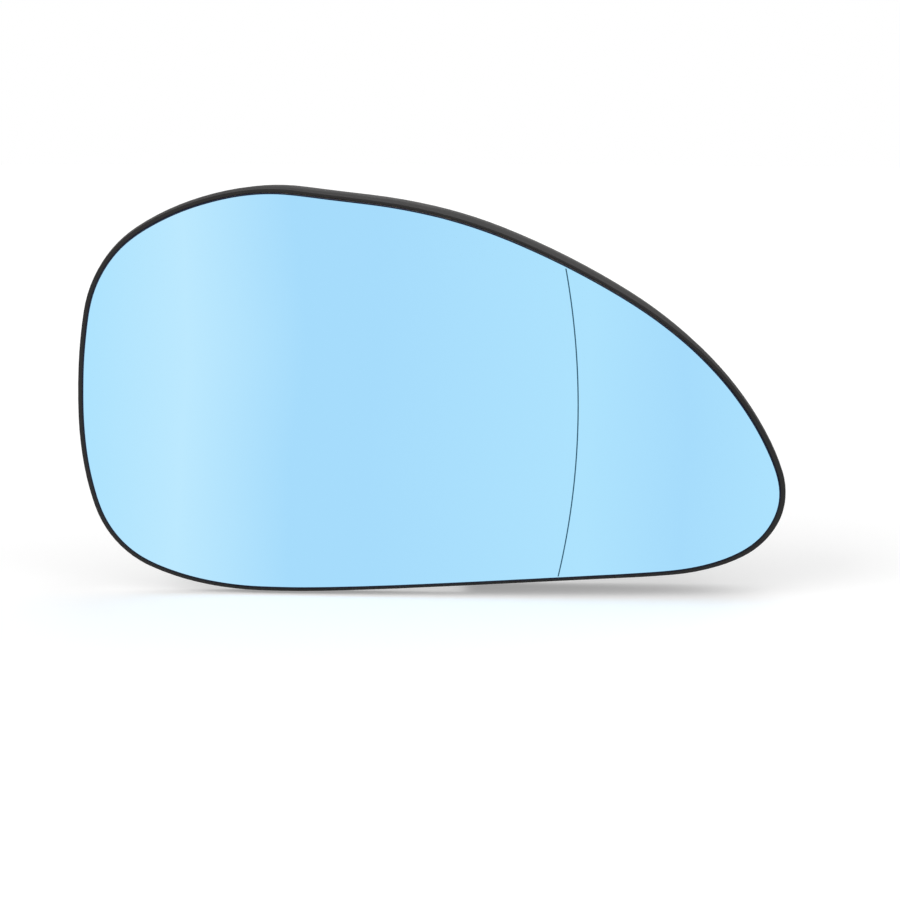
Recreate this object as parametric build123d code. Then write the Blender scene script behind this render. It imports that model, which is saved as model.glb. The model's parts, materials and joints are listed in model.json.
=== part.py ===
"""Car door mirror glass: a convex mirror, its heater film and the moulded carrier that clips to the actuator.

Frame: millimetres, +X to the right and +Z up as the driver sees the mirror, with the mirror face towards -Y.
The origin is the centre of the clip ring's bore, level with the back of the carrier's plate.
"""
import os
from math import asin, atan2, cos, degrees, hypot, radians, sin, sqrt

from build123d import *

# Widest outline of the bezel seen from the front, as (x, z) points in anticlockwise order.
OUTLINE = [
    (-27.0, 54.4), (-57.0, 50.0), (-76.3, 36.0), (-83.0, 10.0), (-82.2, -16.0), (-74.9, -34.6),
    (-54.5, -45.4), (-22.0, -47.6), (15.0, -45.8), (55.0, -43.4), (78.0, -40.2), (89.6, -33.6),
    (94.5, -24.0), (90.6, -8.2), (70.2, 17.6), (39.8, 37.1), (6.0, 49.7),
]

# Curvature of the glass: a sphere, then a tighter arc from the dividing line outwards.
MAIN_RADIUS = 2000.0
OUTER_RADIUS = 760.0
APEX_X = 10.0
DIVIDE_X = 40.0
FRONT_Y = -6.6
CURVE_REACH = 112.0
CURVE_HALF_HEIGHT = 75.0

# Depths well in front of and behind the plate, where cutters start and end.
CUT_FRONT = -12.0
CUT_BACK = 3.0
CUT_FAR_BACK = 40.0

# Layers, measured from the front of the glass.
GLASS = 2.0
BOND = 0.2
FILM = 0.2
BOND_BACK = GLASS + BOND
FILM_BACK = BOND_BACK + FILM

# Carrier: plate, bezel and skirt.
SKIN = 1.6
GROOVE_Y = -0.6
GROOVE_WIDTH = 0.3
GROOVE_DEPTH = 0.35
SKIRT_INSET = 0.3
WALL = 1.6
SKIRT_TOP = 11.4
BEZEL_SECTIONS = [(GROOVE_Y, 0.0), (-2.8, 0.3), (-4.8, 0.8), (-6.8, 1.25)]
GLASS_INSET = 1.5
GLASS_CLEARANCE = 0.1
LIP_BEHIND_GLASS = 0.7
SEAT_GAP = 0.06
FILM_LEDGE = 3.6
RIB = 1.2
RIB_COUNT = 16

# The skirt is missing along the left part of the bottom edge, and notched beside the stay arm.
GAP_RIGHT_X = 14.5
GAP_TOP_Z = -29.5
GAP_CORNER = 2.5
NOTCH_X = 78.5
NOTCH_HALF = 4.0
NOTCH_SLOPES = (4.0, 3.0)
NOTCH_DEPTH = 5.4
NOTCH_CORNER = 1.6
SIDE_RIB_X = (-84.0, -80.3)
SIDE_RIB_Z = 4.6
SIDE_RIB_DROP = 2.0

# Nylon clip ring and its spring wire, with angles counted from +X towards +Z.
BORE_RADIUS = 32.5
RING_THICK = 2.3
RING_DEPTH = 2.8
RING_CLEARANCE = 0.1
RING_END_ANGLES = (280.1, 626.8)
RING_END_PROUD = 1.4
RING_END_SPAN_ANGLE = 3.6
RING_TAB_HEIGHT = 1.4
RAISED_SET_BACK = 0.7
RING_BUMP_ANGLES = [(288.5, 294.5), (301.0, 311.0), (229.0, 240.0)]
RING_BUMP_HEIGHT = 0.8
BUMP_SET_BACK = 0.3
WIRE_RADIUS = 0.45
WIRE_CLEARANCE = 0.05
WIRE_Y = -RING_DEPTH / 2
WIRE_END_ANGLES = (286.0, 618.0)
RING_RADIUS = BORE_RADIUS + RING_THICK
RING_END_RADIUS = RING_RADIUS + RING_END_PROUD

# Collar round the clip ring, with its base flange, shelf, tabs and posts.
BASE_BEHIND_RING = 2.2
COLLAR_ROOM = 4.7
COLLAR_WALL = 1.6
COLLAR_TOP = 1.4
BASE_INNER = RING_RADIUS + BASE_BEHIND_RING
COLLAR_INNER = BASE_INNER + COLLAR_ROOM
COLLAR_RADIUS = COLLAR_INNER + COLLAR_WALL
SHELF = 1.2
SHELF_OUT = 0.9
SHELF_CLEARANCE = 0.3
SHELF_INNER = BORE_RADIUS + SHELF_OUT
SHELF_SET_BACK = RING_END_RADIUS + SHELF_CLEARANCE
SHELF_ANGLES = [(18, 70), (110, 162), (198, 224), (317, 342)]
SET_BACK_ANGLES = [(223, 248), (285.5, 318)]
REAR_TAB_ANGLES = (246, 257)
POST_END_ANGLE = 4
POST_OUT = 1.3
POST_INNER = BORE_RADIUS + POST_OUT
POST = 1.3
SIDE_TAB_ANGLES = [0, 180]
SIDE_TAB_HALF_ANGLE = 11
SIDE_TAB_OUT = 0.8
SIDE_TAB_INNER = RING_RADIUS + SIDE_TAB_OUT
SIDE_POST_SET_BACK = 0.3
SIDE_POST_END_ANGLE = 1.2

# Snap hooks on the shelf and plain guard posts between them.
HOOK_ANGLES = [30, 57, 123, 150, 208, 234.5, 305.5, 332]
GUARD_ANGLES = [45, 135, 225, 315]
HOOK_WIDTH = 5.0
HOOK_TOP = 9.6
HOOK_INSET = 1.1
HOOK_THICK = 2.2
HOOK_REACH = 2.2
HOOK_STEM = (COLLAR_INNER - HOOK_INSET - HOOK_THICK, COLLAR_INNER - HOOK_INSET)
HOOK_NOSE = HOOK_STEM[0] - HOOK_REACH
HOOK_CHAMFER = 2.2
HOOK_FACE = 1.0
GUARD_SLOPE = 1.4
GUARD_WIDTH = 3.6
GUARD_INSET = 1.7
GUARD_STEM = (COLLAR_INNER - GUARD_INSET, COLLAR_RADIUS)

# Terminal window, terminals and rivets.
WINDOW_X = (-67.5, -47.0)
WINDOW_Z = (-8.0, 21.5)
WINDOW_CORNER = 2.0
FRAME = 1.4
TERMINAL_Z = {"lower": -2.0, "upper": 9.9}
TERMINAL_X = -61.9
TAB_THICK = 0.8
BLADE_WIDTH = 6.3
BLADE_HEIGHT = 9.8
BLADE_TAPER = 1.2
FOOT_LENGTH = 8.2
FOOT_WIDTH = 6.6
RIVET_X = 4.6
RIVET_SHANK = 1.2
RIVET_BORE = 0.8
RIVET_HEAD = 2.0
RIVET_HEAD_THICK = 0.35
RIVET_DEPTH = 0.15
RIVET_CUT = 8.0
CONTACT_GAP = 0.03

# Slot and stay arm near the narrow end.
SLOT_X = (57.5, 66.0)
SLOT_Z = (-6.4, -1.2)
ARM_ROUTE = [(74.2, -1.2), (73.9, 4.0), (71.9, 28.4), (69.3, 35.2)]
ARM_THICK = 1.7
ARM_WIDTH = 4.0
ARM_Z = -5.0
HEAD_THICK = 3.2
HEAD_WIDTH = 4.8
BOSS_X = (70.8, 77.4)
BOSS_HALF_Z = 3.4
BOSS_TOP = 3.6
ARM_CLEARANCE = 0.05

BASE_CURVE = Spline(*[Vector(x, z) for x, z in OUTLINE], periodic=True)
OUTLINE_ENDS = [(Vector(x, z), BASE_CURVE.tangent_at(Vector(x, z))) for x, z in OUTLINE]
SPHERE_CENTRE = Vector(APEX_X, FRONT_Y + MAIN_RADIUS)
DIVIDE_ANGLE = asin((DIVIDE_X - APEX_X) / MAIN_RADIUS)
OUTER_CENTRE = SPHERE_CENTRE + Vector(sin(DIVIDE_ANGLE), -cos(DIVIDE_ANGLE)) * (MAIN_RADIUS - OUTER_RADIUS)


def outline(inset):
    """Face of the mirror's outline, moved inwards by inset and made of arcs that meet smoothly."""
    arcs = []
    for start, end in zip(OUTLINE_ENDS, OUTLINE_ENDS[1:] + OUTLINE_ENDS[:1]):
        joint = arc_joint(start, end)
        for first, last in ((start, joint), (joint, end)):
            arcs.append(TangentArc(moved(first, inset), moved(last, inset), tangent=first[1]))
    return make_face(arcs)


def moved(end, inset):
    """An arc's end point, moved inwards."""
    point, along = end
    return point + Vector(-along.Y, along.X) * inset


def arc_joint(start, end):
    """Point and direction where the two arcs between two ends meet."""
    chord = end[0] - start[0]
    both = start[1] + end[1]
    spread = 2 * (1 - start[1].dot(end[1]))
    reach = (sqrt(chord.dot(both) ** 2 + spread * chord.dot(chord)) - chord.dot(both)) / spread
    near = start[0] + start[1] * reach
    far = end[0] - end[1] * reach
    return (near + far) / 2, (far - near).normalized()


def prism(sketch, front, back):
    """Straight solid of a front-view sketch between two depths."""
    return extrude(Plane.XZ.offset(-back) * sketch, amount=back - front)


def box(x_range, y_range, z_range):
    """Box from its limits along each axis."""
    sizes = [high - low for low, high in (x_range, y_range, z_range)]
    middle = [(low + high) / 2 for low, high in (x_range, y_range, z_range)]
    return Pos(*middle) * Box(*sizes)


def tube(outer, inner, front, back):
    """Ring about the bore's axis."""
    return prism(Circle(outer) - Circle(inner), front, back)


def sector(outer, inner, angles, front, back):
    """Part of a ring between two angles, counted from +X towards +Z."""
    start, end = (radians(angle) for angle in angles)
    middle = (start + end) / 2

    def at(radius, angle):
        return (radius * cos(angle), radius * sin(angle))

    border = [
        ThreePointArc(at(outer, start), at(outer, middle), at(outer, end)),
        Line(at(outer, end), at(inner, end)),
        ThreePointArc(at(inner, end), at(inner, middle), at(inner, start)),
        Line(at(inner, start), at(outer, start)),
    ]
    return prism(make_face(border), front, back)


def turned(shape, angle):
    """Shape made on the +X side, turned about the bore's axis to an angle."""
    return Rot(0, -angle, 0) * shape


def radial_plate(outer, inner, thick, angle, front, back):
    """Thin radial wall at an angle."""
    return turned(box((inner, outer), (front, back), (-thick / 2, thick / 2)), angle)


def section_curve(depth):
    """Arcs of the glass's section at a depth behind its front face, from left to right."""
    main = MAIN_RADIUS - depth
    outer = OUTER_RADIUS - depth
    left = -asin((CURVE_REACH + APEX_X) / MAIN_RADIUS)
    right = asin((CURVE_REACH - OUTER_CENTRE.X) / OUTER_RADIUS)

    def at(centre, radius, angle):
        return centre + Vector(sin(angle), -cos(angle)) * radius

    joint = at(SPHERE_CENTRE, main, DIVIDE_ANGLE)
    middle = (left + DIVIDE_ANGLE) / 2
    inner_arc = ThreePointArc(at(SPHERE_CENTRE, main, left), at(SPHERE_CENTRE, main, middle), joint)
    outer_arc = ThreePointArc(joint, at(OUTER_CENTRE, outer, (DIVIDE_ANGLE + right) / 2),
                              at(OUTER_CENTRE, outer, right))
    return [inner_arc, outer_arc]


def curved_layer(front_depth, back_depth):
    """Slab that follows the glass's curvature between two depths, larger than the mirror."""
    front = section_curve(front_depth)
    back = section_curve(back_depth)
    sides = [Line(front[0] @ 0, back[0] @ 0), Line(front[1] @ 1, back[1] @ 1)]
    half = degrees(asin(CURVE_HALF_HEIGHT / MAIN_RADIUS))
    axis = Axis((0, SPHERE_CENTRE.Y, 0), (1, 0, 0))
    face = make_face(front + back + sides)
    return revolve(face.rotate(axis, -half), axis, 2 * half)


def layer_y(x, z, depth):
    """Y of a curved layer at a place left of the dividing line."""
    radius = MAIN_RADIUS - depth
    return SPHERE_CENTRE.Y - sqrt(radius ** 2 - (x - APEX_X) ** 2 - z ** 2)


def mirror_glass():
    """Silvered glass plate."""
    return prism(outline(GLASS_INSET + GLASS_CLEARANCE), CUT_FRONT, CUT_BACK) & curved_layer(0, GLASS)


def terminal_places():
    """Location of each terminal's blade corner on the film."""
    middle_x = TERMINAL_X + FOOT_LENGTH / 2
    slope = degrees(atan2(middle_x - APEX_X, MAIN_RADIUS))
    places = {}
    for name, z in TERMINAL_Z.items():
        y = layer_y(middle_x, z, FILM_BACK) + CONTACT_GAP
        places[name] = Pos(middle_x, y, z) * Rot(0, 0, slope) * Pos(-FOOT_LENGTH / 2, 0, 0)
    return places


def rivet_hole(place):
    """Cylinder where a rivet's shank passes."""
    return place * Pos(RIVET_X, 0, 0) * Rot(90, 0, 0) * Cylinder(RIVET_SHANK, RIVET_CUT)


def sheet(front_depth, back_depth, holes):
    """Thin sheet between the glass and the carrier."""
    body = prism(outline(GLASS_INSET + GLASS_CLEARANCE), CUT_FRONT, CUT_BACK)
    body &= curved_layer(front_depth, back_depth)
    for hole in holes:
        body -= hole
    return body


def terminal(place):
    """L-shaped tab terminal with a rounded foot and a tapered blade."""
    half = FOOT_WIDTH / 2
    foot = box((0, FOOT_LENGTH - half), (0, TAB_THICK), (-half, half))
    foot += Pos(FOOT_LENGTH - half, TAB_THICK / 2, 0) * Rot(90, 0, 0) * Cylinder(half, TAB_THICK)
    side = BLADE_WIDTH / 2
    shoulder = BLADE_HEIGHT - BLADE_TAPER
    tip = side - BLADE_TAPER
    blade = Polyline((0, -side), (shoulder, -side), (BLADE_HEIGHT, -tip),
                     (BLADE_HEIGHT, tip), (shoulder, side), (0, side), close=True)
    upright = extrude(Plane((0, 0, 0), x_dir=(0, 1, 0), z_dir=(1, 0, 0)) * make_face(blade), amount=TAB_THICK)
    hole = Pos(RIVET_X, 0, 0) * Rot(90, 0, 0) * Cylinder(RIVET_SHANK, RIVET_CUT)
    return place * (foot + upright - hole)


def rivet(place):
    """Eyelet rivet: a tube through the foot and the film, with a flat head."""
    length = TAB_THICK + RIVET_DEPTH
    shank = Pos(0, length / 2 - RIVET_DEPTH, 0) * Rot(90, 0, 0) * Cylinder(RIVET_SHANK, length)
    head_y = TAB_THICK + RIVET_HEAD_THICK / 2
    head = Pos(0, head_y, 0) * Rot(90, 0, 0) * Cylinder(RIVET_HEAD, RIVET_HEAD_THICK)
    bore = Rot(90, 0, 0) * Cylinder(RIVET_BORE, RIVET_CUT)
    return place * Pos(RIVET_X, 0, 0) * (shank + head - bore)


def bezel_and_plate():
    """Bezel and ribbed plate as a straight block, still without the glass's pocket."""
    wires = [(Plane.XZ.offset(-y) * outline(inset)).wire() for y, inset in BEZEL_SECTIONS]
    groove = outline(-1.0) - outline(GROOVE_DEPTH)
    body = Solid.make_loft(wires, ruled=True) - prism(groove, GROOVE_Y - GROOVE_WIDTH, GROOVE_Y)
    body += prism(outline(SKIRT_INSET), GROOVE_Y - SKIN / 2, 0)
    return body - plate_hollows() - prism(Circle(COLLAR_INNER), CUT_FRONT, CUT_BACK)


def glass_pocket():
    """Room for the glass and its two sheets, open to the front."""
    return prism(outline(GLASS_INSET), CUT_FRONT, CUT_BACK) & curved_layer(CUT_FRONT, FILM_BACK + SEAT_GAP)


def plate_hollows():
    """Pockets under the plate's skin, between the ribs, the collar and the window frames."""
    hollow = prism(outline(FILM_LEDGE), CUT_FRONT, -SKIN)
    for index in range(RIB_COUNT):
        angle = (index + 0.5) * 360 / RIB_COUNT
        hollow -= radial_plate(CURVE_REACH, BASE_INNER, RIB, angle, CUT_FRONT, 0)
    hollow -= prism(Circle(COLLAR_RADIUS), CUT_FRONT, 0)
    hollow -= framed(WINDOW_X, WINDOW_Z)
    hollow -= framed(SLOT_X, SLOT_Z)
    return hollow


def framed(x_range, z_range):
    """Block that leaves a wall round an opening in the plate."""
    wide = (x_range[0] - FRAME, x_range[1] + FRAME)
    high = (z_range[0] - FRAME, z_range[1] + FRAME)
    return box(wide, (CUT_FRONT, 0), high)


def plate_openings():
    """Terminal window and slot, cut right through the plate."""
    width = WINDOW_X[1] - WINDOW_X[0]
    height = WINDOW_Z[1] - WINDOW_Z[0]
    centre = Pos(sum(WINDOW_X) / 2, sum(WINDOW_Z) / 2)
    window = prism(centre * RectangleRounded(width, height, WINDOW_CORNER), CUT_FRONT, CUT_BACK)
    return window + box(SLOT_X, (CUT_FRONT, CUT_BACK), SLOT_Z)


def skirt():
    """Wall round the back, missing along part of the bottom edge and notched by the arm."""
    wall = prism(outline(SKIRT_INSET) - outline(SKIRT_INSET + WALL), -SKIN / 2, SKIRT_TOP)
    wall += skirt_rib() & prism(outline(SKIRT_INSET + 0.1), 0, SKIRT_TOP)
    return wall - skirt_gap() - skirt_notch()


def skirt_rib():
    """Small upright rib inside the left wall."""
    return box(SIDE_RIB_X, (-SKIN / 2, SKIRT_TOP - SIDE_RIB_DROP), (SIDE_RIB_Z, SIDE_RIB_Z + RIB))


def skirt_gap():
    """Cutter for the missing wall, with a rounded corner at its right end."""
    high = SKIRT_TOP + 2
    low = SKIRT_TOP - GAP_CORNER
    bend = GAP_CORNER * (1 - cos(radians(45)))
    border = [
        Polyline((GAP_RIGHT_X + GAP_CORNER, SKIRT_TOP), (GAP_RIGHT_X + GAP_CORNER, high),
                 (-CURVE_REACH, high), (-CURVE_REACH, 0), (GAP_RIGHT_X, 0), (GAP_RIGHT_X, low)),
        ThreePointArc((GAP_RIGHT_X, low), (GAP_RIGHT_X + bend, SKIRT_TOP - bend),
                      (GAP_RIGHT_X + GAP_CORNER, SKIRT_TOP)),
    ]
    return Pos(0, 0, -CURVE_HALF_HEIGHT) * extrude(make_face(border), amount=CURVE_HALF_HEIGHT + GAP_TOP_Z)


def skirt_notch():
    """Cutter for the notch in the wall beside the arm, with rounded corners."""
    floor_left, floor_right = NOTCH_X - NOTCH_HALF, NOTCH_X + NOTCH_HALF
    left, right = floor_left - NOTCH_SLOPES[0], floor_right + NOTCH_SLOPES[1]
    floor = SKIRT_TOP - NOTCH_DEPTH
    flare = 2 * NOTCH_CORNER
    border = Polyline((left - flare, SKIRT_TOP), (left, SKIRT_TOP), (floor_left, floor),
                      (floor_right, floor), (right, SKIRT_TOP), (right + flare, SKIRT_TOP),
                      (right + flare, SKIRT_TOP + flare), (left - flare, SKIRT_TOP + flare), close=True)
    cutter = make_face(border)
    bends = [corner for corner in cutter.vertices() if left - NOTCH_CORNER < corner.X < right + NOTCH_CORNER]
    cutter = fillet(bends, NOTCH_CORNER)
    return Pos(0, 0, ARM_Z) * extrude(cutter, amount=CURVE_HALF_HEIGHT)


def collar():
    """Round collar with its base flange, shelf, tabs and posts."""
    root = (COLLAR_RADIUS + COLLAR_INNER) / 2
    base_top = -RING_DEPTH - RING_CLEARANCE
    body = tube(COLLAR_RADIUS, COLLAR_INNER, CUT_FRONT, COLLAR_TOP)
    body += tube(root, BASE_INNER, CUT_FRONT, base_top)
    for angles in SHELF_ANGLES:
        body += sector(root, SHELF_INNER, angles, 0, SHELF)
        for angle in (angles[0] + POST_END_ANGLE, angles[1] - POST_END_ANGLE):
            body += radial_plate(root, POST_INNER, POST, angle, CUT_FRONT, base_top)
    for angles in SET_BACK_ANGLES:
        body += sector(root, SHELF_SET_BACK, angles, 0, SHELF)
    body += sector(root, SHELF_INNER, REAR_TAB_ANGLES, 0, SHELF)
    for centre in SIDE_TAB_ANGLES:
        body += side_tab(centre, root)
    return body


def side_tab(centre, root):
    """Shelf piece at three or nine o'clock, held up by three posts."""
    angles = (centre - SIDE_TAB_HALF_ANGLE, centre + SIDE_TAB_HALF_ANGLE)
    tab = sector(root, SIDE_TAB_INNER, angles, 0, SHELF)
    for angle in (angles[0] + SIDE_POST_END_ANGLE, centre, angles[1] - SIDE_POST_END_ANGLE):
        tab += radial_plate(root, SIDE_TAB_INNER + SIDE_POST_SET_BACK, POST, angle, CUT_FRONT, SHELF / 2)
    return tab


def hook(angle):
    """Snap hook with a chamfered nose that points at the bore's axis."""
    stem_in, stem_out = HOOK_STEM
    overhang = stem_in - HOOK_NOSE
    nose_top = HOOK_TOP - HOOK_CHAMFER
    nose_low = nose_top - HOOK_FACE
    border = Polyline((stem_in, SHELF / 2), (stem_out, SHELF / 2), (stem_out, HOOK_TOP), (stem_in, HOOK_TOP),
                      (HOOK_NOSE, nose_top), (HOOK_NOSE, nose_low), (stem_in, nose_low - overhang / 2),
                      close=True)
    return turned(slab(border, HOOK_WIDTH), angle)


def slab(border, width):
    """Flat piece of a width, centred on the plane that its border is drawn in."""
    return Pos(0, 0, -width / 2) * extrude(make_face(border), amount=width)


def guard(angle):
    """Plain post between two hooks, sloped on its outer side."""
    inner, outer = GUARD_STEM
    border = Polyline((inner, SHELF / 2), (outer, SHELF / 2), (outer, HOOK_TOP - GUARD_SLOPE),
                      (outer - GUARD_SLOPE, HOOK_TOP), (inner, HOOK_TOP), close=True)
    return turned(slab(border, GUARD_WIDTH), angle)


def hooks():
    """All hooks and guard posts of the collar."""
    return [hook(angle) for angle in HOOK_ANGLES] + [guard(angle) for angle in GUARD_ANGLES]


def arm_boss():
    """Low block that the stay arm stands in."""
    return box(BOSS_X, (-SKIN / 2, BOSS_TOP), (ARM_Z - BOSS_HALF_Z, ARM_Z + BOSS_HALF_Z))


def carrier():
    """The whole moulding."""
    body = bezel_and_plate() + collar() + skirt()
    body += [*hooks(), arm_boss()]
    body -= plate_openings() + stay_arm(ARM_CLEARANCE)
    return (body & curved_layer(LIP_BEHIND_GLASS, CUT_FAR_BACK)) - glass_pocket()


def revolved_span(section, angles):
    """Section in the +X half plane, turned about the bore's axis from one angle to another."""
    start, end = angles
    return Rot(0, -end, 0) * revolve(section, Axis.Y, end - start)


def clip_ring():
    """Open nylon ring with a block at one end, a raised tab at the other and low bumps between."""
    section = Pos(BORE_RADIUS + RING_THICK / 2, -RING_DEPTH / 2) * Rectangle(RING_THICK, RING_DEPTH)
    section -= Pos(RING_RADIUS, WIRE_Y) * Circle(WIRE_RADIUS + WIRE_CLEARANCE)
    ring = revolved_span(section, RING_END_ANGLES)
    start, end = RING_END_ANGLES
    raised_inner = BORE_RADIUS + RAISED_SET_BACK
    bump_outer = RING_RADIUS - BUMP_SET_BACK
    tab = (start, start + RING_END_SPAN_ANGLE)
    ring += sector(RING_END_RADIUS, BORE_RADIUS, (end - RING_END_SPAN_ANGLE, end), -RING_DEPTH, 0)
    ring += sector(RING_END_RADIUS, BORE_RADIUS, tab, -RING_DEPTH, 0)
    ring += sector(RING_END_RADIUS, raised_inner, tab, -RING_DEPTH, RING_TAB_HEIGHT)
    for angles in RING_BUMP_ANGLES:
        ring += sector(bump_outer, raised_inner, angles, -RING_CLEARANCE, RING_BUMP_HEIGHT)
    return ring


def ring_spring():
    """Round spring wire in the clip ring's groove."""
    return revolved_span(Pos(RING_RADIUS, WIRE_Y) * Circle(WIRE_RADIUS), WIRE_END_ANGLES)


def arm_outline(points, thick, extra):
    """Strip of even thickness along a few straight runs."""
    half = thick / 2 + extra
    near, far = [], []
    for index, (x, y) in enumerate(points):
        before = points[max(index - 1, 0)]
        after = points[min(index + 1, len(points) - 1)]
        run = hypot(after[0] - before[0], after[1] - before[1])
        side = ((after[1] - before[1]) / run * half, (before[0] - after[0]) / run * half)
        near.append((x + side[0], y + side[1]))
        far.append((x - side[0], y - side[1]))
    return make_face(Polyline(*near, *reversed(far), close=True))


def stay_arm(extra=0.0):
    """Steel strip that rises from the plate, with a thicker head bent inwards."""
    strip_half = ARM_WIDTH / 2 + extra
    head_half = HEAD_WIDTH / 2
    strip = extrude(arm_outline(ARM_ROUTE, ARM_THICK, extra), amount=2 * strip_half)
    head = extrude(arm_outline(ARM_ROUTE[-2:], HEAD_THICK, 0), amount=HEAD_WIDTH)
    return Pos(0, 0, ARM_Z - strip_half) * strip + Pos(0, 0, ARM_Z - head_half) * head


def build():
    """All nodes by name."""
    places = terminal_places()
    holes = [rivet_hole(place) for place in places.values()]
    nodes = {
        "mirror_glass": mirror_glass(),
        "bonding_sheet": sheet(GLASS, BOND_BACK, []),
        "heater_film": sheet(BOND_BACK, FILM_BACK, holes),
        "carrier": carrier(),
        "clip_ring": clip_ring(),
        "ring_spring": ring_spring(),
        "stay_arm": stay_arm(),
    }
    for name, place in places.items():
        nodes[f"terminal_{name}"] = terminal(place)
        nodes[f"rivet_{name}"] = rivet(place)
    return nodes


def main():
    """Write one file per node."""
    os.makedirs("parts", exist_ok=True)
    for name, shape in build().items():
        export_step(shape, f"parts/{name}.step")


if __name__ == "__main__":
    main()
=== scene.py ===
"""Dresses the car door mirror glass: mirror coat, moulded black carrier, heater film and metal fittings."""
from __future__ import annotations

import json
import logging
import math
from abc import ABC, abstractmethod
from collections.abc import Callable
from dataclasses import dataclass, field
from enum import Enum

import bmesh
import bpy
import numpy as np
from mathutils import Euler, Matrix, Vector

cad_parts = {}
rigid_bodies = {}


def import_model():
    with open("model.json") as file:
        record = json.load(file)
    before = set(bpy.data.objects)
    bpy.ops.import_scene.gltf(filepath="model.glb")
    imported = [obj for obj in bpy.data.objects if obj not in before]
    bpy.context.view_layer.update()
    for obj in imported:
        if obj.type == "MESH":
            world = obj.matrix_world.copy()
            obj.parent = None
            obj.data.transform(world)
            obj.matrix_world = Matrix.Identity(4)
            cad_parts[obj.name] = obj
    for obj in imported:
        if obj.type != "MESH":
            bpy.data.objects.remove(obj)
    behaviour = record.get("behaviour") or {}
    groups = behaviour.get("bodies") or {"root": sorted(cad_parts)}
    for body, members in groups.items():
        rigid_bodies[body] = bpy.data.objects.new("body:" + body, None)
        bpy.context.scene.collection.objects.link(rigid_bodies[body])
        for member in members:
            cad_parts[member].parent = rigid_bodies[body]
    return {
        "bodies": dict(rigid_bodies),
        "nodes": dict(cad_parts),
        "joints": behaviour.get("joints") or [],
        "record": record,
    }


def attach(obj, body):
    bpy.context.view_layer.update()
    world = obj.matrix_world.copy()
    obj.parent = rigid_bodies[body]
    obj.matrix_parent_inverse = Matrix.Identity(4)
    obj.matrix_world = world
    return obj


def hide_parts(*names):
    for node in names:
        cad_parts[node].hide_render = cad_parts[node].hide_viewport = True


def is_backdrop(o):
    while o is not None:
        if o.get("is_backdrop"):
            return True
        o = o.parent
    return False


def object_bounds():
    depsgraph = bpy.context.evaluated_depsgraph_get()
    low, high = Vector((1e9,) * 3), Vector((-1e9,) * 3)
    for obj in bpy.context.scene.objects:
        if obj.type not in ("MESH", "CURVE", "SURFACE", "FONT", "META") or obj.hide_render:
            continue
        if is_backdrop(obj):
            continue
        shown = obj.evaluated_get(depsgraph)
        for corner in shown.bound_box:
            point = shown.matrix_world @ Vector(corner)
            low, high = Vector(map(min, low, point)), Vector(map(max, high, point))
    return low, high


LOG = logging.getLogger("mirror_glass")
MM = 0.001

# Tint of a gloss that takes none.
NEUTRAL = (1.0, 1.0, 1.0, 1.0)
# Distances within which points are one: at a grid's pole, and on a node's loose triangles.
POLE_MERGE = 1e-7
NODE_MERGE = 2e-6
# Angles between faces: still flat, still smooth, and enough for a rounded edge.
FLAT_UP_TO = math.radians(0.6)
SMOOTH_UP_TO = math.radians(30)
ROUNDED_FROM = math.radians(32)
ROUNDING_SEGMENTS = 2


class Shading(Enum):
    """How a piece's faces are lit."""

    SMOOTH = "smooth"
    BY_ANGLE = "by_angle"


def srgb(red: int, green: int, blue: int) -> tuple[float, float, float, float]:
    """Linear colour of a screen colour.

    Args:
        red: Screen red, 0 to 255.
        green: Screen green, 0 to 255.
        blue: Screen blue, 0 to 255.

    Returns:
        Linear red, green, blue and an alpha of 1.
    """
    def linear(value: float) -> float:
        """Linear value of one channel."""
        return value / 12.92 if value <= 0.04045 else ((value + 0.055) / 1.055) ** 2.4

    return (linear(red / 255), linear(green / 255), linear(blue / 255), 1.0)


class Graph:
    """Adds and wires shader nodes of one node tree."""

    def __init__(self, tree: bpy.types.NodeTree) -> None:
        """Keeps the tree.

        Args:
            tree: The node tree to build in.
        """
        self.tree = tree
        self.column = 0

    def add(self, kind: str, **settings: object) -> bpy.types.Node:
        """Adds a node, sets its properties and inputs, and wires sockets given as inputs.

        Args:
            kind: Blender's node type.
            **settings: Properties by name, and inputs by name with spaces as double underscores.

        Returns:
            The node.
        """
        node = self.tree.nodes.new(kind)
        node.location = (self.column * 180, 0)
        self.column += 1
        for name, value in settings.items():
            if name.startswith("in_"):
                self.feed(node, name[3:].replace("__", " "), value)
            else:
                setattr(node, name, value)
        return node

    def feed(self, node: bpy.types.Node, name: str | int, value: object) -> None:
        """Gives an input a value or a link.

        Args:
            node: The node.
            name: The input's name, or its number as text.
            value: A value, or an output socket.
        """
        socket = node.inputs[int(name)] if str(name).isdigit() else node.inputs[name]
        if isinstance(value, bpy.types.NodeSocket):
            self.tree.links.new(value, socket)
        else:
            socket.default_value = value

    def paint(self, shader: bpy.types.Node, factor: bpy.types.NodeSocket,
              stops: list[tuple[float, tuple[float, ...]]]) -> None:
        """Feeds the shader's base colour from a colour ramp over a factor.

        Args:
            shader: The Principled shader.
            factor: The factor's socket.
            stops: Positions with their colours.
        """
        node = self.add("ShaderNodeValToRGB", in_Fac=factor)
        elements = node.color_ramp.elements
        while len(elements) < len(stops):
            elements.new(0.5)
        for element, (position, colour) in zip(elements, stops):
            element.position = position
            element.color = colour
        self.feed(shader, "Base Color", node.outputs["Color"])

    def emboss(self, shader: bpy.types.Node, height: bpy.types.NodeSocket, strength: float,
               depth: float) -> None:
        """Feeds the shader's normal from a height.

        Args:
            shader: The Principled shader.
            height: The height's socket.
            strength: Strength of the bump.
            depth: Depth of the bump in metres.
        """
        node = self.add("ShaderNodeBump", in_Height=height, in_Strength=strength, in_Distance=depth)
        self.feed(shader, "Normal", node.outputs[0])


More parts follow.
